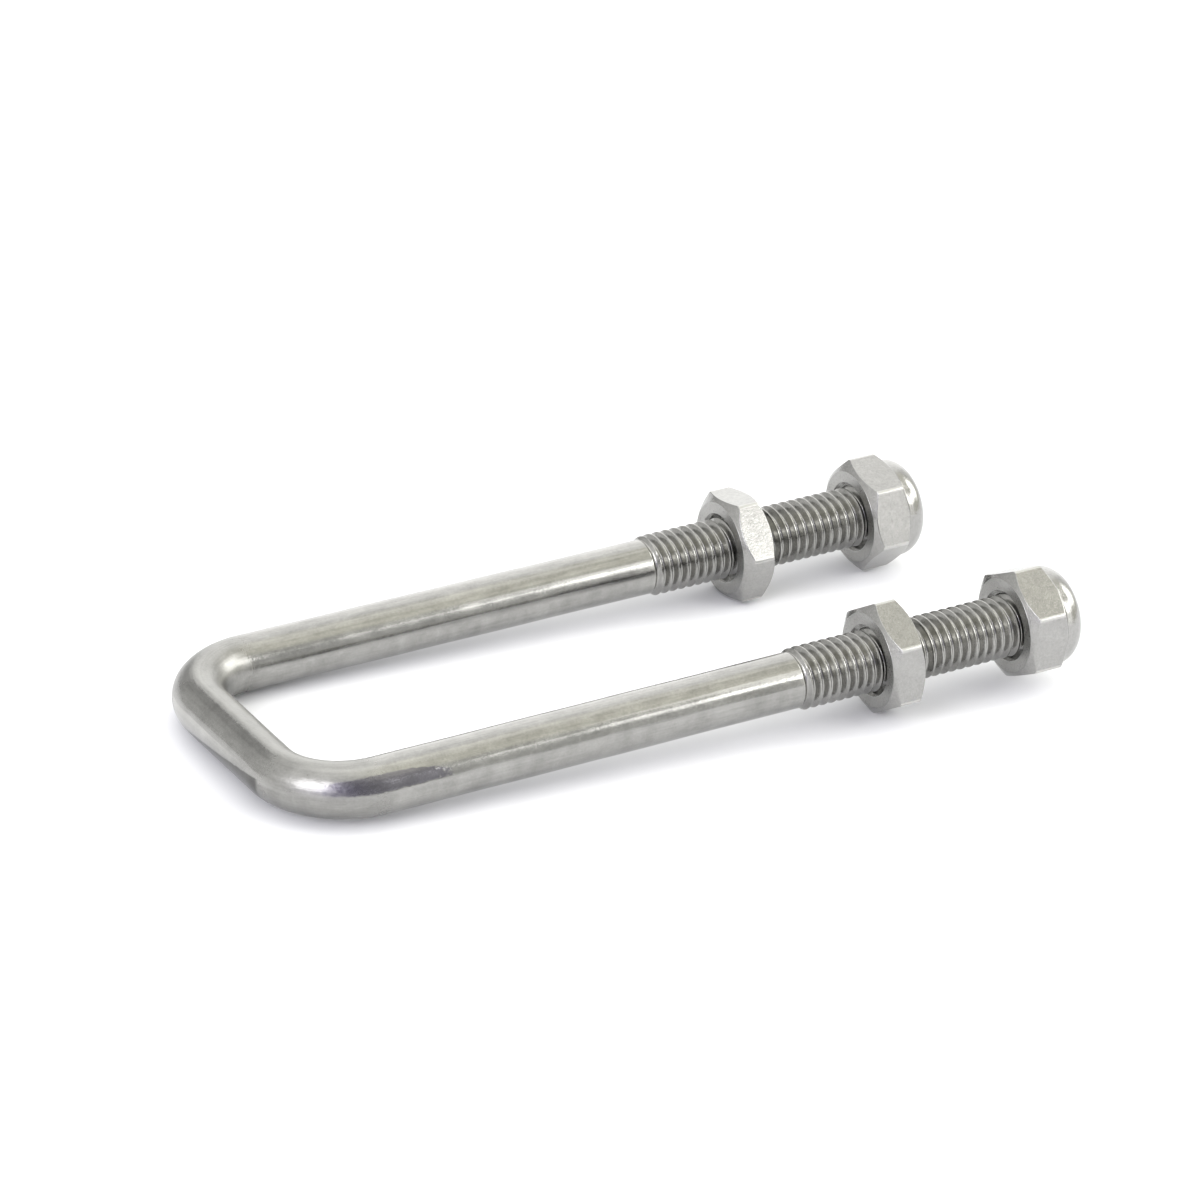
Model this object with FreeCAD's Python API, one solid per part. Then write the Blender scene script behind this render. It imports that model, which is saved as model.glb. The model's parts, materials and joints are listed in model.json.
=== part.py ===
"""U-bolt: a round bar bent into a U, with a thin hexagon nut and a nylon-insert lock nut
on each threaded leg.

Frame, in millimetres: the origin is the middle of the crossbar's inner face, where a
catch hook bears. +X runs along the legs towards their threaded ends, +Y points to the
left leg and +Z is square to the plane of the U.
"""
import FreeCAD, Part

import math
import os

# ---- bent rod ----
SHANK_DIAMETER = 7.1
INNER_WIDTH = 29.5
INNER_BEND_RADIUS = 5.9
LEG_LENGTH = 101.5  # from the crossbar's inner face to the rod's two ends
THREAD_DIAMETER = 7.9
THREAD_LENGTH = 39.4
RUNOUT_LENGTH = 0.9  # where the rolled thread rises from the shank
END_CHAMFER = 0.7

# ---- fits ----
NUT_CLEARANCE = 0.05  # radial, between the thread's crest and all that runs over it
RING_CLEARANCE = 0.04  # all round the nylon ring, in its groove

# ---- nylon-insert lock nuts ----
RING_WALL = 1.26
RING_HEIGHT = 2.3
COLLAR_WALL = 1.05
RIM_LIP = 0.5  # how far the crimped rim reaches over the ring
RIM_THICKNESS = 0.75
RIM_FLAT = 0.25  # width of the flat ring round the rim's opening
DOME_HEIGHT = 2.3  # of the collar's rounded end
COLLAR_HEIGHT = 2.8
LOCK_NUT_HEIGHT = 8.2
END_PROJECTION = 0.0  # how far the rod's ends stand out of the lock nuts

# ---- thin hexagon nuts ----
HEX_NUT_HEIGHT = 4.7
HEX_NUT_GAPS = {"left": 14.85, "right": 15.3}  # between its outer face and the lock nut

# ---- all four nuts ----
COLLAR_STEP = 0.15  # from the lock nut's collar out to its flats
BEARING_STEP = 0.5  # from the edge of a bearing face out to the flats
CORNER_CHAMFER_ANGLE = 34.0
COUNTERSINK = 0.6

# How far each nut stands turned at rest, in degrees from +Z to a corner, towards -Y.
HEX_NUT_TURNS = {"left": 24.0, "right": -1.0}
LOCK_NUT_TURNS = {"left": 45.0, "right": 4.0}

# ---- sizes that follow ----
SIDES = {"left": 1, "right": -1}
SHANK_RADIUS = SHANK_DIAMETER / 2
THREAD_RADIUS = THREAD_DIAMETER / 2
THREAD_START = LEG_LENGTH - THREAD_LENGTH
LEG_OFFSET = INNER_WIDTH / 2 + SHANK_RADIUS
BEND_RADIUS = INNER_BEND_RADIUS + SHANK_RADIUS
BORE_RADIUS = THREAD_RADIUS + NUT_CLEARANCE
RING_RADIUS = BORE_RADIUS + RING_WALL
GROOVE_RADIUS = RING_RADIUS + RING_CLEARANCE
OPENING_RADIUS = RING_RADIUS - RIM_LIP
RIM_RADIUS = OPENING_RADIUS + RIM_FLAT
COLLAR_RADIUS = GROOVE_RADIUS + COLLAR_WALL
FLAT_RADIUS = COLLAR_RADIUS + COLLAR_STEP
BEARING_RADIUS = FLAT_RADIUS - BEARING_STEP
CORNER_RADIUS = FLAT_RADIUS / math.cos(math.radians(30.0))
CHAMFER_SLOPE = math.tan(math.radians(CORNER_CHAMFER_ANGLE))
GROOVE_END = LOCK_NUT_HEIGHT - RIM_THICKNESS
GROOVE_START = GROOVE_END - RING_HEIGHT - 2 * RING_CLEARANCE
LOCK_HEX_HEIGHT = LOCK_NUT_HEIGHT - COLLAR_HEIGHT
LOCK_NUT_X = LEG_LENGTH - END_PROJECTION - LOCK_NUT_HEIGHT


# ---- shapes ----
def point(x, y, z=0.0):
    return FreeCAD.Vector(x, y, z)


def turned(*outline):
    """Solid of revolution round the X axis, from points given as (x, radius)."""
    corners = [point(x, radius) for x, radius in outline]
    return revolved(Part.makePolygon(corners + corners[:1]))


def revolved(outline):
    return Part.Face(outline).revolve(point(0, 0), point(1, 0), 360.0)


def hexagon(length, turn):
    """Hexagonal bar along +X, with one corner turned from +Z towards -Y."""
    corners = []
    for corner in range(6):
        angle = math.radians(turn + 60.0 * corner)
        corners.append(point(0, -CORNER_RADIUS * math.sin(angle), CORNER_RADIUS * math.cos(angle)))
    return Part.Face(Part.makePolygon(corners + corners[:1])).extrude(point(length, 0))


def chamfer_depth(radius):
    """How far a corner chamfer that starts at this radius has run back at the corners."""
    return (CORNER_RADIUS - radius) * CHAMFER_SLOPE


def on_leg(solid, side, x):
    """Carry a piece made on the X axis to its place along one leg."""
    solid.translate(point(x, SIDES[side] * LEG_OFFSET))
    return solid


# ---- u_rod ----
def bar_path():
    """Centre line of the plain bar, from the left thread round to the right one."""
    crossbar_x = -SHANK_RADIUS
    bend_x = crossbar_x + BEND_RADIUS
    bend_y = LEG_OFFSET - BEND_RADIUS
    reach = BEND_RADIUS * math.sqrt(0.5)
    edges = [Part.LineSegment(point(crossbar_x, bend_y), point(crossbar_x, -bend_y))]
    for side in SIDES.values():
        leg_y = side * LEG_OFFSET
        middle = point(bend_x - reach, side * (bend_y + reach))
        edges.append(Part.Arc(point(crossbar_x, side * bend_y), middle, point(bend_x, leg_y)))
        edges.append(Part.LineSegment(point(bend_x, leg_y), point(THREAD_START, leg_y)))
    return Part.Wire(Part.__sortEdges__([edge.toShape() for edge in edges]))


def bar():
    path = bar_path()
    start = path.OrderedVertexes[0].Point
    section = Part.Wire(Part.makeCircle(SHANK_RADIUS, start, point(1, 0)))
    return path.makePipeShell([section], True, False)


def threaded_end():
    """The rolled end of one leg, at its crest diameter, from the shank to the chamfer."""
    return turned(
        (THREAD_START, 0),
        (THREAD_START, SHANK_RADIUS),
        (THREAD_START + RUNOUT_LENGTH, THREAD_RADIUS),
        (LEG_LENGTH - END_CHAMFER, THREAD_RADIUS),
        (LEG_LENGTH, THREAD_RADIUS - END_CHAMFER),
        (LEG_LENGTH, 0),
    )


def u_rod():
    ends = [on_leg(threaded_end(), side, 0) for side in SIDES]
    return bar().fuse(ends).removeSplitter()


# ---- thin hexagon nuts ----
def hex_nut(turn):
    depth = chamfer_depth(BEARING_RADIUS)
    blank = turned(
        (0, 0),
        (0, BEARING_RADIUS),
        (depth, CORNER_RADIUS),
        (HEX_NUT_HEIGHT - depth, CORNER_RADIUS),
        (HEX_NUT_HEIGHT, BEARING_RADIUS),
        (HEX_NUT_HEIGHT, 0),
    )
    bore = turned(
        (0, 0),
        (0, BORE_RADIUS + COUNTERSINK),
        (COUNTERSINK, BORE_RADIUS),
        (HEX_NUT_HEIGHT - COUNTERSINK, BORE_RADIUS),
        (HEX_NUT_HEIGHT, BORE_RADIUS + COUNTERSINK),
        (HEX_NUT_HEIGHT, 0),
    )
    return blank.common(hexagon(HEX_NUT_HEIGHT, turn)).cut(bore)


# ---- nylon-insert lock nuts ----
def dome():
    """Edge of the collar's rounded end, which leaves its side with no corner."""
    start, step = LOCK_NUT_HEIGHT - DOME_HEIGHT, COLLAR_RADIUS - RIM_RADIUS
    rounding = (DOME_HEIGHT**2 + step**2) / (2 * step)
    half_turn = math.asin(DOME_HEIGHT / rounding) / 2
    middle = point(
        start + rounding * math.sin(half_turn),
        COLLAR_RADIUS - rounding * (1 - math.cos(half_turn)),
    )
    return Part.Arc(point(start, COLLAR_RADIUS), middle, point(LOCK_NUT_HEIGHT, RIM_RADIUS))


def lock_nut(turn):
    """Steel shell: hexagon, domed collar, and the groove for the ring."""
    outline = [
        point(LOCK_NUT_HEIGHT, RIM_RADIUS),
        point(LOCK_NUT_HEIGHT, 0),
        point(0, 0),
        point(0, BEARING_RADIUS),
        point(chamfer_depth(BEARING_RADIUS), CORNER_RADIUS),
        point(LOCK_HEX_HEIGHT - chamfer_depth(COLLAR_RADIUS), CORNER_RADIUS),
        point(LOCK_HEX_HEIGHT, COLLAR_RADIUS),
        point(LOCK_NUT_HEIGHT - DOME_HEIGHT, COLLAR_RADIUS),
    ]
    blank = revolved(Part.Wire(Part.makePolygon(outline).Edges + [dome().toShape()]))
    bore = turned(
        (0, 0),
        (0, BORE_RADIUS + COUNTERSINK),
        (COUNTERSINK, BORE_RADIUS),
        (GROOVE_START, BORE_RADIUS),
        (GROOVE_START, GROOVE_RADIUS),
        (GROOVE_END, GROOVE_RADIUS),
        (GROOVE_END, OPENING_RADIUS),
        (LOCK_NUT_HEIGHT, OPENING_RADIUS),
        (LOCK_NUT_HEIGHT, 0),
    )
    return blank.common(hexagon(LOCK_NUT_HEIGHT, turn)).cut(bore)


def nylon_ring():
    start = GROOVE_START + RING_CLEARANCE
    return turned(
        (start, BORE_RADIUS),
        (start, RING_RADIUS),
        (start + RING_HEIGHT, RING_RADIUS),
        (start + RING_HEIGHT, BORE_RADIUS),
    )


# ---- the whole object ----
def nodes():
    pieces = {"u_rod": u_rod()}
    for side in SIDES:
        hex_nut_x = LOCK_NUT_X - HEX_NUT_GAPS[side] - HEX_NUT_HEIGHT
        pieces[side + "_hex_nut"] = on_leg(hex_nut(HEX_NUT_TURNS[side]), side, hex_nut_x)
        pieces[side + "_lock_nut"] = on_leg(lock_nut(LOCK_NUT_TURNS[side]), side, LOCK_NUT_X)
        pieces[side + "_nylon_ring"] = on_leg(nylon_ring(), side, LOCK_NUT_X)
    return pieces


os.makedirs("parts", exist_ok=True)
for name, solid in nodes().items():
    solid.exportStep("parts/" + name + ".step")
    print(name, round(solid.Volume, 2), "mm3, valid", solid.isValid())
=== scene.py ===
"""U-bolt: a bent stainless rod whose threaded legs carry a thin hexagon nut and a
nylon-insert lock nut each. Lengths are in metres, in the model's own frame: +X runs along
the legs to their threaded ends, +Y points to the left leg and +Z is square to the U.
"""
import json
import math

import bmesh
import bpy
from bpy.props import FloatProperty, FloatVectorProperty, IntProperty, PointerProperty
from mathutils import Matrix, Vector


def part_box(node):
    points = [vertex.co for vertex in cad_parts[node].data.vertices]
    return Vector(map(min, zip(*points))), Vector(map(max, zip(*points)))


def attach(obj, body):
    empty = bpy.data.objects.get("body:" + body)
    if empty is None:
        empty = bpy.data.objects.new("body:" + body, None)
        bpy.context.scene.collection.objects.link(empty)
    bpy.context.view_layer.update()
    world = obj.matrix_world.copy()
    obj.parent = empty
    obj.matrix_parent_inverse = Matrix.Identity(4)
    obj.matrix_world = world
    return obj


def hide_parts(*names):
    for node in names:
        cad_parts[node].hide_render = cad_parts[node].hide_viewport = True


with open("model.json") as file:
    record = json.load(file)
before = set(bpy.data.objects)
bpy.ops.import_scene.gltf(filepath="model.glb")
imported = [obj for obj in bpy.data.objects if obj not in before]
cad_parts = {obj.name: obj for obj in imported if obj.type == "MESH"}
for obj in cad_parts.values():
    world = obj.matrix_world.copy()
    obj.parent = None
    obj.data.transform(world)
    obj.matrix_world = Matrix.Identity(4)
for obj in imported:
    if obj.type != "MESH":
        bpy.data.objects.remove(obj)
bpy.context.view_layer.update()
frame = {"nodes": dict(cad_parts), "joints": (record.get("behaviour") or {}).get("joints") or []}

bl_info = {
    "name": "U-bolt",
    "version": (1, 0, 0),
    "blender": (4, 5, 0),
    "location": "3D View > Sidebar > U-bolt",
    "description": "Builds the U-bolt's rod, nuts and nylon rings on their frame",
    "category": "Object",
}

MM = 0.001
TURN = 2 * math.pi
SIDES = {"left": 1, "right": -1}
PLACE = "own_place"  # each piece's own straightened coordinates, which its material reads

# ---- sizes read from the frame ----
ROD_LOW, ROD_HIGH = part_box("u_rod")
SHANK_RADIUS = -ROD_LOW.x / 2
CREST_RADIUS = ROD_HIGH.z
LEG_END = ROD_HIGH.x
JOINTS = {joint["name"]: joint for joint in frame["joints"]}
LEG_Y = {side: JOINTS[side + "_lock_nut_turn"]["pos_m"][1] for side in SIDES}

# ---- how finely the meshes are made ----
WELD = 0.002 * MM
SHARP_EDGE = math.radians(38)
LEG_STEPS, BEND_STEPS, CROSSBAR_STEPS = 60, 36, 12
CORNER_STEPS, FLAT_STEPS = 3, 12
DOME_STEPS = 12
RING_COLUMNS = 72

# ---- details too small to be worth changing ----
MOST_OF_AN_EDGE = 0.46  # that the rounding of one of its corners may take up
NUT_THREAD_DEPTH = 0.85  # as a share of the rod's
RING_OUTER_ROUNDING, RING_INNER_ROUNDING = 0.2 * MM, 0.35 * MM
TIP_RINGS = (1, 0.94, 0.5)  # of points on a leg's end face, as shares of its radius
DIP_LENGTH, DIP_TWIST_LENGTH = 4.1 * MM, 6.7 * MM  # of the hand-straightened bar's waves
DIP_FADE = 8 * MM  # over which the dips die out before the threads
BUMP_DISTANCE = 0.04 * MM
LATHE_RINGS = 42.0  # radians of the turned faces' wave in a millimetre
LATHE_DEPTH = 0.06  # millimetres under a bearing face that its turned finish reaches


# ---- the sizes and colours that a user may change ----
def length(name, description, default):
    return FloatProperty(
        name=name, description=description, default=default * MM, min=0.0,
        precision=5, subtype="DISTANCE", unit="LENGTH",
    )


def angle(name, description, default):
    return FloatProperty(
        name=name, description=description, default=math.radians(default),
        subtype="ANGLE", unit="ROTATION",
    )


def colour(name, description, default):
    return FloatVectorProperty(
        name=name, description=description, default=default, size=3,
        min=0.0, max=1.0, subtype="COLOR",
    )


def share(name, description, default):
    return FloatProperty(name=name, description=description, default=default, min=0.0, max=1.0)


class UBOLT_PG_thread(bpy.types.PropertyGroup):
    """The thread that the legs and all the nuts share."""

    pitch: length("Pitch", "Advance of the thread in one turn", 1.25)
    depth: length("Depth", "From the thread's crest to its root", 0.76)
    run: length("Threaded length", "From the first rise out of the shank to the leg's end", 39.4)
    runout: length("Run-out", "Length over which the thread rises out of the shank", 0.9)
    end_chamfer: length("End chamfer", "Bevel on the leg's end", 0.7)
    clearance: length("Clearance", "Between the rod's thread and a nut's", 0.05)
    steps: IntProperty(name="Steps", description="Rows of points in one pitch", default=16, min=8)
    columns: IntProperty(name="Columns", description="Points round the rod", default=72, min=24)


class UBOLT_PG_rod(bpy.types.PropertyGroup):
    """The bent bar."""

    bend_radius: length("Bend radius", "Of the bar's centre line", 9.45)
    crossbar: share("Crossbar", "Its diameter as a share of the shank's", 0.955)
    flattening: share("Flattening", "How far the bends thin across the U's plane", 0.03)
    waviness: length("Waviness", "Depth of the hand-straightened bar's dips", 0.05)
    steel: colour("Steel", "Colour of the drawn bar", (0.325, 0.322, 0.308))


class UBOLT_PG_nuts(bpy.types.PropertyGroup):
    """Sizes of the hexagon nuts and the lock nuts."""

    across_flats: length("Across flats", "Width of the hexagon", 13.0)
    bearing: length("Bearing face", "Diameter of the flat face inside the chamfer", 12.0)
    chamfer: angle("Chamfer", "Of the corners, from the bearing face", 34.0)
    countersink: length("Countersink", "Diameter of the bore's bevel at the face", 9.2)
    edge_rounding: length("Edge rounding", "On the edges between the flats", 0.42)
    face_rounding: length("Face rounding", "Where a bearing face turns into its chamfer", 0.25)
    chamfer_rounding: length("Chamfer rounding", "Where a chamfer meets the flats", 0.14)
    collar: length("Collar", "Diameter of the lock nut's collar", 12.7)
    collar_height: length("Collar height", "From the lock nut's hexagon to its end", 2.8)
    dome: length("Dome", "Height of the collar's rounded end", 2.3)
    rim_flat: length("Rim flat", "Width of the flat ring round the rim's opening", 0.25)
    opening: length("Rim opening", "Diameter inside the crimped rim", 9.52)
    groove_gap: length("Groove gap", "Room round the nylon ring in its groove", 0.04)
    steel: colour("Steel", "Colour of the nuts", (0.345, 0.342, 0.331))
    nylon: colour("Nylon", "Colour of the rings", (0.03, 0.09, 0.32))


class UBOLT_PG_stage(bpy.types.PropertyGroup):
    """Camera, floor and light."""

    heading: angle("Heading", "Of the view, from +Y towards +X", 29.33)
    elevation: angle("Elevation", "How steeply the camera looks down", 25.97)
    roll: angle("Roll", "Of the camera", 0.135)
    distance: length("Distance", "From the camera to the middle of the view", 672.6)
    lens: FloatProperty(name="Lens", description="Focal length in mm", default=160.4, min=10.0)
    floor: colour("Floor", "Colour of the floor", (0.86, 0.865, 0.88))
    daylight: FloatProperty(name="Daylight", description="Strength of the surroundings", default=1.0)


# ---- meshes ----
class Skin:
    """Rows of points, welded into one closed mesh. A point is its place and its own place."""

    def __init__(self):
        self.mesh = bmesh.new()
        self.layer = self.mesh.verts.layers.float_vector.new(PLACE)

    def row(self, points):
        verts = []
        for place, own in points:
            vert = self.mesh.verts.new(place)
            vert[self.layer] = own
            verts.append(vert)
        return verts

    def grid(self, rows, seam=0):
        """Join each row to the next. The last column joins the first one, seam rows on."""
        rows = [self.row(points) for points in rows]
        last = len(rows) - 1
        for number in range(last):
            for column in range(len(rows[0])):
                ahead = (column + 1) % len(rows[0])
                shift = seam if ahead == 0 else 0
                low = rows[min(number + shift, last)][ahead]
                high = rows[min(number + 1 + shift, last)][ahead]
                corners = (rows[number][column], low, high, rows[number + 1][column])
                self.mesh.faces.new(dict.fromkeys(corners))

    def cap(self, points, centre):
        """Close a ring of points with a fan of faces."""
        ring = self.row(points)
        (middle,) = self.row([centre])
        for column, vert in enumerate(ring):
            self.mesh.faces.new((vert, ring[(column + 1) % len(ring)], middle))

    def piece(self, name, material):
        """The finished object, welded and closed."""
        bmesh.ops.remove_doubles(self.mesh, verts=self.mesh.verts, dist=WELD)
        bmesh.ops.recalc_face_normals(self.mesh, faces=self.mesh.faces)
        loose = [edge for edge in self.mesh.edges if not edge.is_manifold]
        if loose:
            place = loose[0].verts[0].co
            raise RuntimeError(f"{name} has {len(loose)} open edges, the first at {place}")
        data = bpy.data.meshes.new(name)
        self.mesh.to_mesh(data)
        self.mesh.free()
        data.shade_smooth()
        data.set_sharp_from_angle(angle=SHARP_EDGE)
        data.materials.append(material)
        made = bpy.data.objects.new(name, data)
        bpy.context.scene.collection.objects.link(made)
        weighted = made.modifiers.new("Weighted normals", "WEIGHTED_NORMAL")
        weighted.keep_sharp = True
        return made


def smooth_step(value):
    value = min(max(value, 0.0), 1.0)
    return value * value * (3 - 2 * value)


def soft_minimum(first, second, softness):
    overlap = max(softness - abs(first - second), 0.0) / softness
    return min(first, second) - overlap * overlap * softness / 4


def thread_depth(phase, thread):
    """How far the thread lies under its crest, at this share of the pitch from it."""
    sharp = thread.pitch * math.sqrt(3) / 2  # height of the whole triangle, before its crest is cut
    crest_rounding, root_rounding = 0.05 * thread.pitch, 0.10 * thread.pitch
    away = abs(phase - round(phase))
    below = 2 * sharp * away - sharp / 8
    below = -soft_minimum(-below, 0.0, crest_rounding)
    return soft_minimum(below, thread.depth, root_rounding)


def helix_rows(start, end, thread, angles):
    """Rows of (x, angle, phase) that follow the thread, held between start and end."""
    first = math.floor(start / thread.pitch) - 1
    count = (math.ceil(end / thread.pitch) + 1 - first) * thread.steps
    rows = []
    for number in range(count + 1):
        phase = first + number / thread.steps
        row = []
        for turn in angles:
            x = (phase + turn / TURN) * thread.pitch
            row.append((min(max(x, start), end), turn, phase))
        rows.append(row)
    return rows


def on_leg(side, face_x, x, radius, turn):
    """A point round one leg: its place, and its own place measured from face_x."""
    across, up = radius * math.cos(turn), radius * math.sin(turn)
    return Vector((x, LEG_Y[side] + across, up)), Vector((x - face_x, across, up))


def fillet(outline, radii, steps=4):
    """Round the outline's corners. Each corner keeps its number of points."""
    points = [Vector(outline[0])]
    for number in range(1, len(outline) - 1):
        before, corner, after = (Vector(outline[number + k]) for k in (-1, 0, 1))
        radius = radii[number]
        if radius == 0:
            points.append(corner)
            continue
        back, ahead = before - corner, after - corner
        half = back.angle(ahead) / 2
        room = MOST_OF_AN_EDGE * min(back.length, ahead.length)
        reach = min(radius / math.tan(half), room)
        radius = reach * math.tan(half)
        inward = (back.normalized() + ahead.normalized()).normalized()
        middle = corner + inward * radius / math.sin(half)
        first = corner + back.normalized() * reach - middle
        last = corner + ahead.normalized() * reach - middle
        sweep = first.angle(last)
        for step in range(steps + 1):
            part = step / steps
            spoke = first * math.sin((1 - part) * sweep) + last * math.sin(part * sweep)
            points.append(middle + spoke / math.sin(sweep))
    points.append(Vector(outline[-1]))
    return points


def finish_piece(piece, body, node):
    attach(piece, body)
    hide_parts(node)


# ---- the rod ----
def bar_stations(rod, thread):
    """Stations along the plain bar from the left thread to the right one, as
    (centre, outward, distance from the crossbar's middle, radius, share of bend)."""
    leg, bend = LEG_Y["left"], rod.bend_radius
    crossbar_x, bend_x = -SHANK_RADIUS, bend - SHANK_RADIUS
    thin = SHANK_RADIUS * rod.crossbar
    half = leg - bend
    around = bend * math.pi / 2
    start = LEG_END - thread.run
    stations = []
    for side in SIDES.values():
        rows = []
        for step in range(LEG_STEPS):
            x = start + (bend_x - start) * step / LEG_STEPS
            rows.append((x, side * leg, 0, half + around + x - bend_x, 0.0))
        for step in range(BEND_STEPS):
            turn = math.pi / 2 * step / BEND_STEPS
            x, y = bend_x - bend * math.sin(turn), half + bend * math.cos(turn)
            rows.append((x, side * y, turn, half + around - bend * turn, turn / (math.pi / 2)))
        for step in range(CROSSBAR_STEPS):
            y = half * (1 - step / CROSSBAR_STEPS)
            rows.append((crossbar_x, side * y, math.pi / 2, y, 1.0))
        made = []
        for x, y, turn, distance, bent in rows:
            outward = Vector((-math.sin(turn), side * math.cos(turn), 0))
            radius = SHANK_RADIUS + (thin - SHANK_RADIUS) * smooth_step(bent)
            made.append((Vector((x, y, 0)), outward, side * distance, radius, math.sin(math.pi * bent)))
        stations.append(made)
    middle = (Vector((crossbar_x, 0, 0)), Vector((-1, 0, 0)), 0.0, thin, 0.0)
    return stations[0] + [middle] + stations[1][::-1]


def bar_row(station, rod, columns, bar_half):
    centre, outward, distance, radius, bend = station
    row = []
    for column in range(columns):
        turn = TURN * column / columns
        across, up = math.cos(turn), math.sin(turn)
        wave = math.sin(distance / DIP_LENGTH) * math.sin(distance / DIP_TWIST_LENGTH + 2 * turn)
        fade = smooth_step((bar_half - abs(distance)) / DIP_FADE)
        dip = rod.waviness * fade * (0.5 + 0.5 * wave)
        reach = (radius - dip) * (1 - rod.flattening * bend * across * across)
        place = centre + outward * (reach * across) + Vector((0, 0, reach * up))
        row.append((place, Vector((distance, reach * across, reach * up))))
    return row


def threaded_leg(skin, side, thread, bar_half):
    """One rolled end, from where it rises out of the bar to its closed tip."""
    start = LEG_END - thread.run
    tip = CREST_RADIUS - thread.end_chamfer
    angles = [TURN * column / thread.columns for column in range(thread.columns)]

    def radius_at(x, phase):
        if x >= LEG_END:
            return tip
        rise = smooth_step((x - start) / thread.runout)
        cut = CREST_RADIUS - thread_depth(phase, thread)
        radius = SHANK_RADIUS + (cut - SHANK_RADIUS) * rise
        return min(radius, tip + LEG_END - x)

    def point(x, radius, turn):
        place, own = on_leg(side, start, x, radius, turn)
        sign = SIDES[side]
        return place, Vector((sign * (own.x + bar_half), sign * own.y, own.z))

    rows = []
    for row in helix_rows(start, LEG_END, thread, angles):
        rows.append([point(x, radius_at(x, phase), turn) for x, turn, phase in row])
    skin.grid(rows, thread.steps)
    rings = [[point(LEG_END, tip * part, turn) for turn in angles] for part in TIP_RINGS]
    skin.grid(rings)
    skin.cap(rings[-1], point(LEG_END, 0, 0))


class UBOLT_OT_rod(bpy.types.Operator):
    """Build the bent rod with its two rolled threads"""

    bl_idname = "ubolt.rod"
    bl_label = "U rod"

    def execute(self, context):
        rod, thread = context.scene.ubolt_rod, context.scene.ubolt_thread
        skin = Skin()
        stations = bar_stations(rod, thread)
        bar_half = stations[0][2]
        skin.grid([bar_row(station, rod, thread.columns, bar_half) for station in stations])
        for side in SIDES:
            threaded_leg(skin, side, thread, bar_half)
        piece = skin.piece("bent_rod", bar_steel(rod.steel, bar_half / MM))
        finish_piece(piece, "u_rod", "u_rod")
        return {"FINISHED"}


# ---- the nuts ----
def hexagon_angles(corner_angle, nuts):
    """Angles of the columns round a hexagon, and its radius at each: close on its corners."""
    flat, rounding = nuts.across_flats / 2, nuts.edge_rounding
    away = (flat - rounding) / math.cos(math.pi / 6)
    edge = math.atan2(rounding / 2, away + rounding * math.sqrt(3) / 2)
    columns = []
    for corner in range(6):
        middle = corner_angle + corner * TURN / 6
        for step in range(-CORNER_STEPS, CORNER_STEPS + 1):
            turn = edge * step / CORNER_STEPS
            radius = away * math.cos(turn) + math.sqrt(rounding**2 - (away * math.sin(turn)) ** 2)
            columns.append((middle + turn, radius))
        for step in range(1, FLAT_STEPS):
            turn = edge + (TURN / 6 - 2 * edge) * step / FLAT_STEPS
            columns.append((middle + turn, flat / math.cos(turn - TURN / 12)))
    return columns


def corner_angle(side, kind):
    """Angle of a nut's first corner from +Y towards +Z, read from the frame's mesh."""

    def reach(vert):
        return round((vert.co.y - LEG_Y[side]) ** 2 + vert.co.z**2, 12)

    far = max(frame["nodes"][side + kind].data.vertices, key=reach)
    return math.atan2(far.co.z, far.co.y - LEG_Y[side])


def nut_thread(skin, side, face_x, reach, columns, cones):
    """A nut's inner thread, over its reach from the face at face_x. Cones open its ends."""
    thread = bpy.context.scene.ubolt_thread
    angles = [turn for turn, _ in columns]
    narrow = CREST_RADIUS - NUT_THREAD_DEPTH * thread.depth
    rows = []
    for row in helix_rows(face_x, face_x + reach, thread, angles):
        points = []
        for x, turn, phase in row:
            cut = CREST_RADIUS - thread_depth(phase, thread) + thread.clearance
            radius = max(cut, narrow, *(cone(x - face_x) for cone in cones))
            points.append(on_leg(side, face_x, x, radius, turn))
        rows.append(points)
    skin.grid(rows, thread.steps)


def hexagon_outline(radius, height, nuts, far_radius):
    """Outline of one column of a hexagon: bearing face, chamfer, flat and far chamfer."""
    slope = math.tan(nuts.chamfer)
    bearing = nuts.bearing / 2
    return [
        (0.0, nuts.countersink / 2),
        (0.0, bearing),
        ((radius - bearing) * slope, radius),
        (height - (radius - far_radius) * slope, radius),
        (height, far_radius),
    ]


def dome_outline(height, nuts):
    """Points of the lock nut's domed end, from the collar's side to the rim's flat."""
    collar, rim = nuts.collar / 2, nuts.opening / 2 + nuts.rim_flat
    step = collar - rim
    rounding = (nuts.dome**2 + step**2) / (2 * step)
    sweep = math.asin(nuts.dome / rounding)
    outline = []
    for number in range(DOME_STEPS + 1):
        turn = sweep * number / DOME_STEPS
        x = height - nuts.dome + rounding * math.sin(turn)
        outline.append((x, collar - rounding * (1 - math.cos(turn))))
    return outline


def outline_rows(skin, side, face_x, columns, outlines):
    """Faces from each column's outline; all the outlines have as many points."""
    rows = []
    for number in range(len(outlines[0])):
        row = []
        for (turn, _), outline in zip(columns, outlines):
            x, radius = outline[number]
            row.append(on_leg(side, face_x, face_x + x, radius, turn))
        rows.append(row)
    skin.grid(rows)


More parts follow.
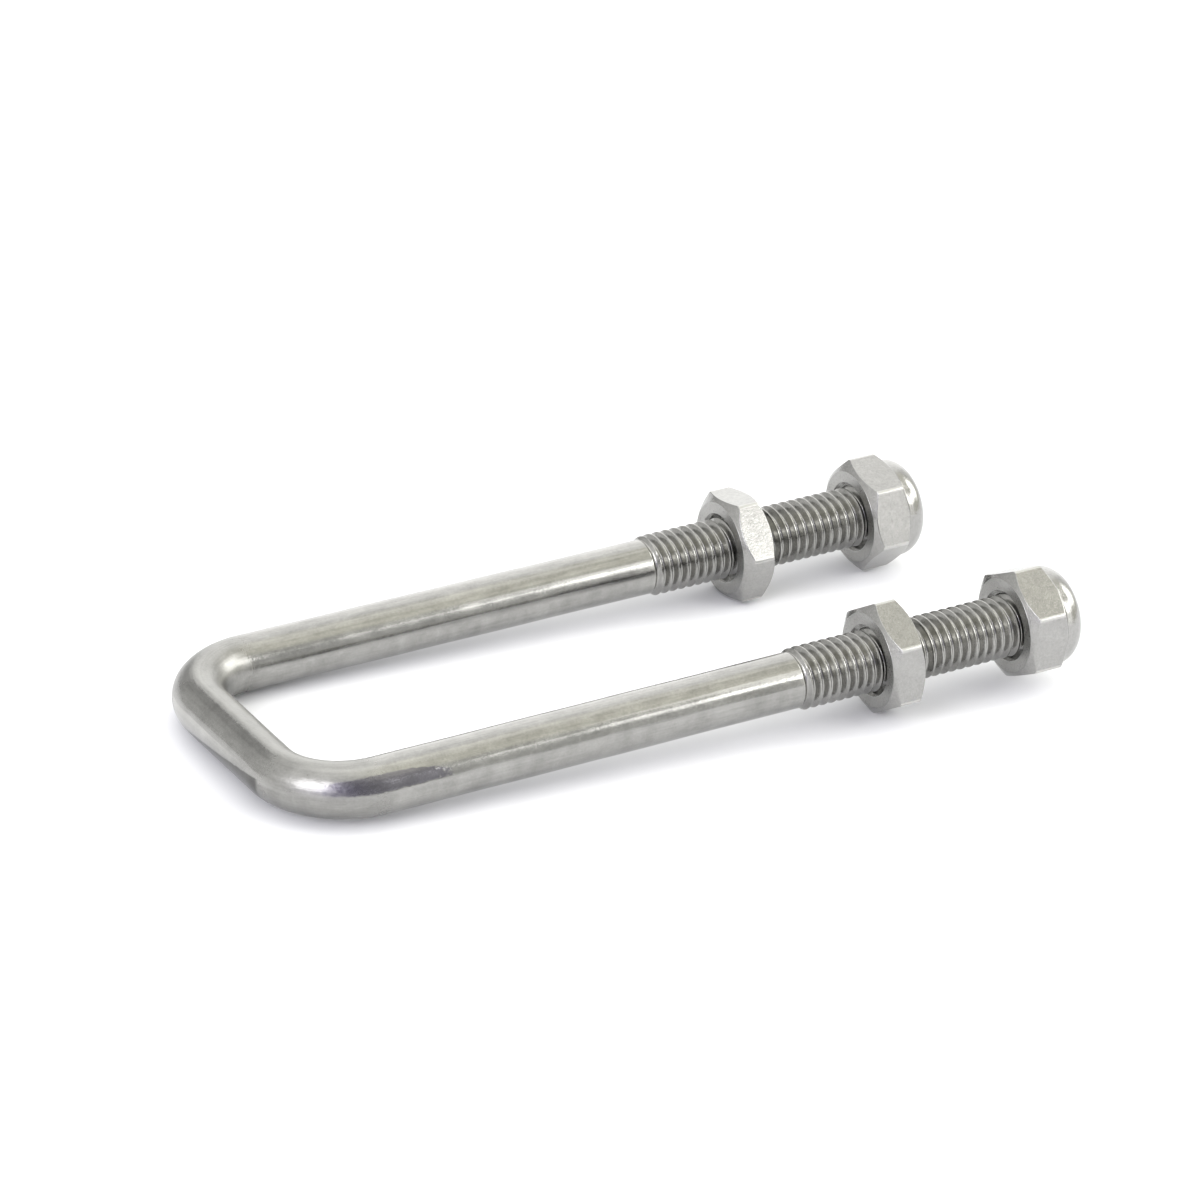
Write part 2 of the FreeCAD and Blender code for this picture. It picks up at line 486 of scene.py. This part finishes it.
class UBOLT_OT_hex_nuts(bpy.types.Operator):
    """Build the two thin hexagon nuts"""

    bl_idname = "ubolt.hex_nuts"
    bl_label = "Hexagon nuts"

    def execute(self, context):
        nuts = context.scene.ubolt_nuts
        material = nut_steel(nuts)
        for side in SIDES:
            low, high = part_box(side + "_hex_nut")
            height = high.x - low.x
            columns = hexagon_angles(corner_angle(side, "_hex_nut"), nuts)
            face, edge = nuts.face_rounding, nuts.chamfer_rounding
            outlines = []
            for _, radius in columns:
                outline = hexagon_outline(radius, height, nuts, nuts.bearing / 2)
                outline.append((height, nuts.countersink / 2))
                outlines.append(fillet(outline, [0, face, edge, edge, face, 0]))
            skin = Skin()
            outline_rows(skin, side, low.x, columns, outlines)
            wide = nuts.countersink / 2
            cones = (lambda x: wide - x, lambda x: wide - (height - x))
            nut_thread(skin, side, low.x, height, columns, cones)
            piece = skin.piece(side + "_thin_nut", material)
            finish_piece(piece, side + "_hex_nut", side + "_hex_nut")
        return {"FINISHED"}


class UBOLT_OT_lock_nuts(bpy.types.Operator):
    """Build the steel shells of the two lock nuts"""

    bl_idname = "ubolt.lock_nuts"
    bl_label = "Lock nuts"

    def execute(self, context):
        nuts = context.scene.ubolt_nuts
        material = nut_steel(nuts)
        for side in SIDES:
            low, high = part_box(side + "_lock_nut")
            ring_low, ring_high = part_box(side + "_nylon_ring")
            height = high.x - low.x
            gap = nuts.groove_gap
            groove = (ring_low.x - low.x - gap, ring_high.x - low.x + gap)
            groove_radius = (ring_high.y - ring_low.y) / 2 + gap
            face, edge = nuts.face_rounding, nuts.chamfer_rounding
            collar, opening = nuts.collar / 2, nuts.opening / 2
            bore = CREST_RADIUS + context.scene.ubolt_thread.clearance
            columns = hexagon_angles(corner_angle(side, "_lock_nut"), nuts)
            outlines = []
            for _, radius in columns:
                outline = hexagon_outline(radius, height - nuts.collar_height, nuts, collar)
                outline += dome_outline(height, nuts)
                outline += [
                    (height, opening),
                    (groove[1], opening),
                    (groove[1], groove_radius),
                    (groove[0], groove_radius),
                    (groove[0], bore),
                ]
                radii = [0, face, edge, 2 * edge, edge] + [0] * DOME_STEPS
                radii += [edge, edge, edge, 0, 0, 0]
                outlines.append(fillet(outline, radii, 5))
            skin = Skin()
            outline_rows(skin, side, low.x, columns, outlines)
            wide = nuts.countersink / 2
            cones = (lambda x: wide - x, lambda x: bore - (groove[0] - x))
            nut_thread(skin, side, low.x, groove[0], columns, cones)
            piece = skin.piece(side + "_locking_nut", material)
            finish_piece(piece, side + "_lock_nut", side + "_lock_nut")
        return {"FINISHED"}


class UBOLT_OT_nylon_rings(bpy.types.Operator):
    """Build the two nylon rings"""

    bl_idname = "ubolt.nylon_rings"
    bl_label = "Nylon rings"

    def execute(self, context):
        material = ring_nylon(context.scene.ubolt_nuts.nylon)
        bore = CREST_RADIUS + context.scene.ubolt_thread.clearance
        for side in SIDES:
            low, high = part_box(side + "_nylon_ring")
            depth, outer = high.x - low.x, (high.y - low.y) / 2
            middle = (0, (bore + outer) / 2)
            outline = [middle, (0, outer), (depth, outer), (depth, bore), (0, bore), middle]
            radii = [0] + [RING_OUTER_ROUNDING] * 2 + [RING_INNER_ROUNDING] * 2 + [0]
            outline = fillet(outline, radii, 6)
            columns = [(TURN * step / RING_COLUMNS, 0) for step in range(RING_COLUMNS)]
            skin = Skin()
            outline_rows(skin, side, low.x, columns, [outline] * len(columns))
            piece = skin.piece(side + "_insert_ring", material)
            finish_piece(piece, side + "_nylon_ring", side + "_nylon_ring")
        return {"FINISHED"}


# ---- materials ----
class Value:
    """A node's output. Arithmetic with it adds Math nodes."""

    def __init__(self, shader, socket):
        self.shader, self.socket = shader, socket

    def math(self, operation, *others):
        return self.shader.math(operation, self, *others)

    def __add__(self, other):
        return self.math("ADD", other)

    def __sub__(self, other):
        return self.math("SUBTRACT", other)

    def __rsub__(self, other):
        return self.shader.math("SUBTRACT", other, self)

    def __mul__(self, other):
        return self.math("MULTIPLY", other)

    def __truediv__(self, other):
        return self.math("DIVIDE", other)

    __radd__ = __add__
    __rmul__ = __mul__

    def ramp(self, low, high):
        """0 at low, 1 at high, smooth between; low may be the greater."""
        if low > high:
            return 1 - self.ramp(high, low)
        settings = {"interpolation_type": "SMOOTHSTEP"}
        inputs = {"Value": self, "From Min": low, "From Max": high}
        return self.shader.node("ShaderNodeMapRange", settings, inputs)


class Shader:
    """A node tree, and the one way that a node is added to it."""

    def __init__(self, tree):
        self.tree = tree
        tree.nodes.clear()

    def node(self, kind, settings=None, inputs=None, output=0):
        made = self.tree.nodes.new(kind)
        for name, setting in (settings or {}).items():
            setattr(made, name, setting)
        for name, given in (inputs or {}).items():
            if isinstance(given, Value):
                self.tree.links.new(given.socket, made.inputs[name])
            else:
                made.inputs[name].default_value = given
        return Value(self, made.outputs[output]) if made.outputs else None

    def math(self, operation, *terms):
        return self.node("ShaderNodeMath", {"operation": operation}, dict(enumerate(terms)))

    def noise(self, place, scale, detail=3.0, roughness=0.5):
        inputs = {"Vector": place, "Scale": scale, "Detail": detail, "Roughness": roughness}
        return self.node("ShaderNodeTexNoise", None, inputs)

    def colours_round(self, value, stops):
        """A colour for each share of a turn; stops are (degrees round, brightness, tint)."""
        made = self.node("ShaderNodeValToRGB", None, {"Fac": value}).socket.node
        elements = made.color_ramp.elements
        while len(elements) < len(stops):
            elements.new(0.5)
        for element, (heading, brightness, tint) in zip(elements, stops):
            element.position = heading / 360 + 0.5
            element.color = [brightness * part for part in tint] + [1.0]
        return Value(self, made.outputs[0])

    def stretched(self, place, by):
        inputs = {0: place, 1: by}
        return self.node("ShaderNodeVectorMath", {"operation": "MULTIPLY"}, inputs)

    def mix(self, factor, first, second):
        inputs = {"Factor": factor, 6: first, 7: second}
        settings = {"data_type": "RGBA"}
        return self.node("ShaderNodeMix", settings, inputs, 2)

    def scaled(self, tint, by):
        """A colour made lighter or darker by a value."""
        inputs = {0: tint, "Scale": by}
        return self.node("ShaderNodeVectorMath", {"operation": "SCALE"}, inputs)

    def bump(self, strength, height):
        inputs = {"Strength": strength, "Distance": BUMP_DISTANCE, "Height": height}
        return self.node("ShaderNodeBump", None, inputs)

    def apart(self, place):
        """The three parts of a place."""
        made = self.node("ShaderNodeSeparateXYZ", None, {0: place})
        outputs = made.socket.node.outputs
        return [Value(self, outputs[number]) for number in range(3)]

    def surface(self, **inputs):
        """The surface and its output; the underscores in its inputs' names are spaces."""
        named = {name.replace("_", " "): given for name, given in inputs.items()}
        shaded = self.node("ShaderNodeBsdfPrincipled", None, named)
        self.node("ShaderNodeOutputMaterial", None, {"Surface": shaded})


def new_shader(name):
    material = bpy.data.materials.new(name)
    material.use_nodes = True
    return material, Shader(material.node_tree)


def rgba(tint):
    return (*tint, 1.0)


def own_place(shader):
    """The piece's own coordinates in millimetres."""
    place = shader.node("ShaderNodeAttribute", {"attribute_name": PLACE}, None, "Vector")
    return shader.stretched(place, (1 / MM, 1 / MM, 1 / MM))


def bar_steel(tint, bar_half):
    """Drawn stainless bar: sandy where it was bent, pressed by the dies, with painted dark reflections
    and a painted highlight in its colour.

    Places on it are in millimetres along from the crossbar's middle, towards the left leg,
    and in degrees round from the outer side, upwards. Its threads start at bar_half. Where
    a mark's ends are raggedly worn, some of the ragged noise is added to its place."""
    material, shader = new_shader("drawn_bar_steel")
    place = own_place(shader)
    along, across, up = shader.apart(place)
    distance = along.math("ABSOLUTE")
    around = up.math("ARCTAN2", across) * (360 / TURN)
    cloudy = shader.noise(place, 0.16, 4.0)
    drawn = shader.noise(shader.stretched(place, (0.05, 2.6, 2.6)), 1.0, 3.0)
    speckle = shader.noise(place, 3.2, 4.0, 0.6)
    blotches = shader.noise(shader.stretched(place, (0.45, 0.9, 0.9)), 0.8, 5.0, 0.6)
    ragged = shader.noise(place, 1.3, 4.0, 0.6) - 0.5
    streaks = shader.noise(shader.stretched(place, (0.9, 0.12, 0.12)), 0.6, 3.0)
    # The sandy skin covers the bends and the upper side of the crossbar.
    bent = (distance + 3 * ragged).ramp(26.0, 21.0)
    upper = (around + 8 * ragged).ramp(70.0, 80.0)
    sandy = bent * upper.math("MAXIMUM", distance.ramp(9.0, 13.0) * 0.9)
    # A rubbed, smoother patch on the right bend's outer side, under an arched edge; the darker, bluer
    # colour on it is a painted dark reflection.
    rightward = -1.0 * along
    arch = 50.0 - 0.35 * (rightward - 24.0) * (rightward - 24.0)
    smooth_patch_painted_dark = (rightward + 5 * ragged).ramp(16.8, 19.6) * (rightward + 9 * ragged).ramp(32.0, 30.0)
    smooth_patch_painted_dark = smooth_patch_painted_dark * (around + 8 * ragged).ramp(13.0, 17.0)
    smooth_patch_painted_dark = smooth_patch_painted_dark * (arch - around + 8 * ragged).ramp(-2.0, 2.0)
    # A flat pressed into the crossbar's lower outer side, under a slanting edge; its colour is darkened
    # there as a painted dark reflection.
    slant = -8.0 - 2.0 * along
    pressed_flat_painted_dark = along.ramp(-10.8, -10.2) * along.ramp(11.0, 6.0)
    pressed_flat_painted_dark = pressed_flat_painted_dark * (slant - around + 6 * ragged).ramp(-1.0, 2.0)
    # A painted highlight on the metal just above the slanting edge: its colour is made brighter there.
    painted_highlight = along.ramp(-8.0, 4.0) * along.ramp(14.0, 11.0)
    painted_highlight = painted_highlight * (around - slant).ramp(0.0, 3.0) * around.ramp(19.0, 15.0)
    # The rolled threads are duller and a little lighter than the drawn bar.
    threaded = distance.ramp(bar_half - 0.5, bar_half + 0.5)
    light = 0.84 + 0.20 * cloudy + 0.56 * (blotches - 0.5) + 0.30 * (drawn - 0.5)
    light = light + 0.30 * (speckle - 0.5) - 0.06 * sandy + 0.05 * threaded
    light = light + 0.50 * (streaks - 0.5) * around.ramp(20.0, 5.0)
    # Painted dark reflections darken the patch and the pressed flat; a painted highlight brightens the
    # strip above the flat.
    light = light * (1 - 0.42 * smooth_patch_painted_dark) * (1 - 0.60 * pressed_flat_painted_dark) + 0.40 * painted_highlight
    # The patch's painted dark reflection is also tinted bluer.
    bluer = (tint[0], tint[1] * 0.98, tint[2] * 1.12)
    tinted = shader.scaled(shader.mix(smooth_patch_painted_dark, rgba(tint), rgba(bluer)), light)
    rough = 0.175 + 0.16 * sandy + 0.16 * (blotches - 0.5) + 0.14 * (speckle - 0.5)
    rough = rough - 0.04 * smooth_patch_painted_dark + 0.03 * threaded
    height = drawn * 0.5 + speckle * (0.35 + 1.3 * sandy) - 0.6 * smooth_patch_painted_dark - 0.3 * pressed_flat_painted_dark
    bump = shader.bump(0.5, height)
    shader.surface(Base_Color=tinted, Roughness=rough, Metallic=1.0, Normal=bump)
    return material


def nut_steel(nuts):
    """Barrel-polished steel. The bearing faces keep the fine rings they were turned with."""
    material, shader = new_shader("polished_nut_steel")
    place = own_place(shader)
    along, across, up = shader.apart(place)
    radius = (across * across + up * up).math("SQRT")
    cloudy = shader.noise(place, 0.4, 3.0)
    speckle = shader.noise(place, 4.5, 4.0, 0.6)
    pits = shader.noise(place, 1.9, 5.0, 0.65)
    face = along.ramp(LATHE_DEPTH, LATHE_DEPTH / 3)
    rings = (radius * LATHE_RINGS).math("SINE")
    # The hexagon's corners, rounded by the polishing, are rougher than its flats, and a painted
    # highlight makes their colour brighter.
    corner = nuts.across_flats / math.sqrt(3) / MM
    corner_roughness_and_highlight = radius.ramp(corner - 0.225, corner - 0.085)
    # The painted corner highlight brightens the colour here.
    light = 0.88 + 0.16 * cloudy + 0.44 * (speckle - 0.5) + 0.36 * (pits - 0.5) + 0.42 * corner_roughness_and_highlight
    tinted = shader.scaled(tuple(nuts.steel), light)
    rough = 0.19 + 0.20 * (speckle - 0.4) + 0.08 * face + 0.16 * corner_roughness_and_highlight
    bump = shader.bump(0.6, speckle * 0.6 + pits * 0.5 + face * rings * 0.5)
    shader.surface(Base_Color=tinted, Roughness=rough, Metallic=1.0, Normal=bump)
    return material


def ring_nylon(tint):
    """Moulded nylon: faintly cloudy, with a fine grain."""
    material, shader = new_shader("ring_nylon")
    place = own_place(shader)
    cloudy = shader.noise(place, 0.9, 3.0)
    grain = shader.noise(place, 6.0, 3.0)
    tinted = shader.scaled(tuple(tint), 0.8 + 0.4 * cloudy)
    rough = 0.38 + 0.15 * (grain - 0.5)
    bump = shader.bump(0.2, grain)
    shader.surface(Base_Color=tinted, Roughness=rough, Normal=bump, Subsurface_Weight=0.15)
    return material


# ---- the stage ----
AIM = Vector((52.85 * MM, 12.46 * MM, 0.0))  # the middle of the view
INSIDE = Vector((50 * MM, 0.0, 0.0))  # a place near the part's balance point
FLOOR_REACH = 6.0
NEUTRAL, WARM, LAVENDER = (1.0, 1.0, 0.99), (1.0, 0.99, 0.89), (0.93, 0.90, 1.12)
# How bright the studio is round the part, by heading in degrees from +X towards +Y.
WALLS = (
    (-180, 1.30, NEUTRAL),
    (-140, 1.15, LAVENDER),
    (-118, 0.62, LAVENDER),
    (-85, 0.62, NEUTRAL),
    (-66, 0.95, NEUTRAL),
    (-45, 1.02, WARM),
    (5, 1.00, WARM),
    (28, 1.30, NEUTRAL),
    (40, 1.95, NEUTRAL),
    (72, 2.05, NEUTRAL),
    (80, 0.62, NEUTRAL),
    (100, 0.62, NEUTRAL),
    (118, 0.90, NEUTRAL),
    (140, 1.00, NEUTRAL),
    (180, 1.30, NEUTRAL),
)
CEILING = (
    (-180, 1.50, NEUTRAL),
    (-145, 1.30, NEUTRAL),
    (-120, 0.75, NEUTRAL),
    (-85, 0.75, NEUTRAL),
    (-62, 1.50, WARM),
    (-35, 1.45, WARM),
    (-5, 1.25, WARM),
    (25, 1.25, WARM),
    (45, 1.75, NEUTRAL),
    (75, 1.50, NEUTRAL),
    (110, 1.20, NEUTRAL),
    (180, 1.50, NEUTRAL),
)
# The walls turn into the ceiling between these heights of a direction, as parts of its length.
WALL_TOP, CEILING_EDGE = 0.66, 0.80
# Area lamps, as seen from AIM: heading from +X towards +Y and elevation in degrees, distance,
# width and height in metres, power in watts, and colour.
LAMPS = {
    "right_softbox": (-41, 28, 1.0, 0.60, 0.18, 2.1, (1.0, 1.0, 1.0)),
    "right_window": (-8, 29, 1.0, 0.34, 0.62, 3.2, (1.0, 1.0, 1.0)),
    "left_softbox": (-152, 31, 1.0, 0.52, 0.50, 4.8, (0.97, 0.96, 1.0)),
    "card_by_the_nuts": (-53.2, 22.5, 0.235, 0.042, 0.20, 0.042, (1.0, 1.0, 1.0)),
    "overhead_softbox": (60, 88, 1.6, 1.30, 1.30, 3.0, (1.0, 1.0, 1.0)),
}


def resting_plane():
    """A point and the upward normal of the plane that the part lies on: the face of its
    convex hull under its middle."""
    hull = bmesh.new()
    for node in frame["nodes"].values():
        for vert in node.data.vertices:
            hull.verts.new(vert.co)
    made = bmesh.ops.convex_hull(hull, input=hull.verts)
    below = []
    for face in made["geom"]:
        if isinstance(face, bmesh.types.BMFace) and face.normal.z < -0.5:
            point, normal = face.verts[0].co.copy(), -face.normal
            depth = (INSIDE - point).dot(normal) / normal.z
            below.append((depth, point, normal))
    hull.free()
    # A convex body's lower faces all lie under its middle; the nearest plane is its own.
    depth, point, normal = min(below, key=lambda found: found[0])
    return point, normal


def lay_floor(stage):
    point, up = resting_plane()
    along = Vector((1, 0, 0)).cross(up).cross(up).normalized()
    across = up.cross(along)
    corners = []
    for x, y in ((-1, -1), (1, -1), (1, 1), (-1, 1)):
        corners.append(point + along * (x * FLOOR_REACH) + across * (y * FLOOR_REACH))
    data = bpy.data.meshes.new("floor")
    data.from_pydata(corners, [], [(0, 1, 2, 3)])
    floor = bpy.data.objects.new("floor", data)
    bpy.context.scene.collection.objects.link(floor)
    material, shader = new_shader("floor_paper")
    shader.surface(Base_Color=rgba(stage.floor), Roughness=0.9)
    data.materials.append(material)


def set_surroundings(stage):
    """A soft studio, as light from all round the part."""
    world = bpy.data.worlds.new("studio")
    world.use_nodes = True
    bpy.context.scene.world = world
    shader = Shader(world.node_tree)
    place = shader.node("ShaderNodeTexCoord", None, None, "Generated")
    x, y, z = shader.apart(place)
    heading = y.math("ARCTAN2", x) / TURN + 0.5
    walls = shader.colours_round(heading, WALLS)
    ceiling = shader.colours_round(heading, CEILING)
    around = shader.mix(z.ramp(WALL_TOP, CEILING_EDGE), walls, ceiling)
    inputs = {"Color": around, "Strength": stage.daylight}
    background = shader.node("ShaderNodeBackground", None, inputs)
    shader.node("ShaderNodeOutputWorld", None, {"Surface": background})


def direction(heading, elevation):
    """The direction at a heading, from +X towards +Y, and an elevation, both in radians."""
    level = math.cos(elevation)
    return Vector((math.cos(heading) * level, math.sin(heading) * level, math.sin(elevation)))


def add_lamp(name, heading, elevation, distance, width, height, power, tint):
    data = bpy.data.lights.new(name, "AREA")
    data.shape = "RECTANGLE"
    data.size, data.size_y = width, height
    data.energy, data.color = power, tint
    lamp = bpy.data.objects.new(name, data)
    away = direction(math.radians(heading), math.radians(elevation))
    lamp.location = AIM + away * distance
    lamp.rotation_euler = (-away).to_track_quat("-Z", "Y").to_euler()
    bpy.context.scene.collection.objects.link(lamp)


def add_camera(stage):
    data = bpy.data.cameras.new("camera")
    data.lens = stage.lens
    camera = bpy.data.objects.new("camera", data)
    forward = direction(math.pi / 2 - stage.heading, -stage.elevation)
    camera.location = AIM - forward * stage.distance
    camera.rotation_euler = forward.to_track_quat("-Z", "Y").to_euler()
    camera.rotation_euler.rotate_axis("Z", stage.roll)
    bpy.context.scene.collection.objects.link(camera)
    bpy.context.scene.camera = camera


class UBOLT_OT_stage(bpy.types.Operator):
    """Set up the floor, the light and the camera"""

    bl_idname = "ubolt.stage"
    bl_label = "Stage"

    def execute(self, context):
        stage = context.scene.ubolt_stage
        lay_floor(stage)
        set_surroundings(stage)
        for name, lamp in LAMPS.items():
            add_lamp(name, *lamp)
        add_camera(stage)
        context.scene.view_settings.view_transform = "Standard"
        return {"FINISHED"}


class UBOLT_PT_panel(bpy.types.Panel):
    """Lists the U-bolt's builders and their sizes"""

    bl_label = "U-bolt"
    bl_idname = "UBOLT_PT_panel"
    bl_space_type = "VIEW_3D"
    bl_region_type = "UI"
    bl_category = "U-bolt"

    def draw(self, context):
        for builder in OPERATORS:
            self.layout.operator(builder.bl_idname)
        for name, group in GROUPS.items():
            box = self.layout.box()
            box.label(text=group.__doc__)
            for size in group.__annotations__:
                box.prop(getattr(context.scene, name), size)


GROUPS = {
    "ubolt_thread": UBOLT_PG_thread,
    "ubolt_rod": UBOLT_PG_rod,
    "ubolt_nuts": UBOLT_PG_nuts,
    "ubolt_stage": UBOLT_PG_stage,
}
OPERATORS = (
    UBOLT_OT_rod,
    UBOLT_OT_hex_nuts,
    UBOLT_OT_lock_nuts,
    UBOLT_OT_nylon_rings,
    UBOLT_OT_stage,
)


def register():
    for made in (*GROUPS.values(), *OPERATORS, UBOLT_PT_panel):
        bpy.utils.register_class(made)
    for name, group in GROUPS.items():
        setattr(bpy.types.Scene, name, PointerProperty(type=group))


def unregister():
    for name in GROUPS:
        delattr(bpy.types.Scene, name)
    for made in (UBOLT_PT_panel, *OPERATORS[::-1], *list(GROUPS.values())[::-1]):
        bpy.utils.unregister_class(made)


def main():
    register()
    bpy.ops.ubolt.rod()
    bpy.ops.ubolt.hex_nuts()
    bpy.ops.ubolt.lock_nuts()
    bpy.ops.ubolt.nylon_rings()
    bpy.ops.ubolt.stage()


if __name__ == "__main__":
    main()
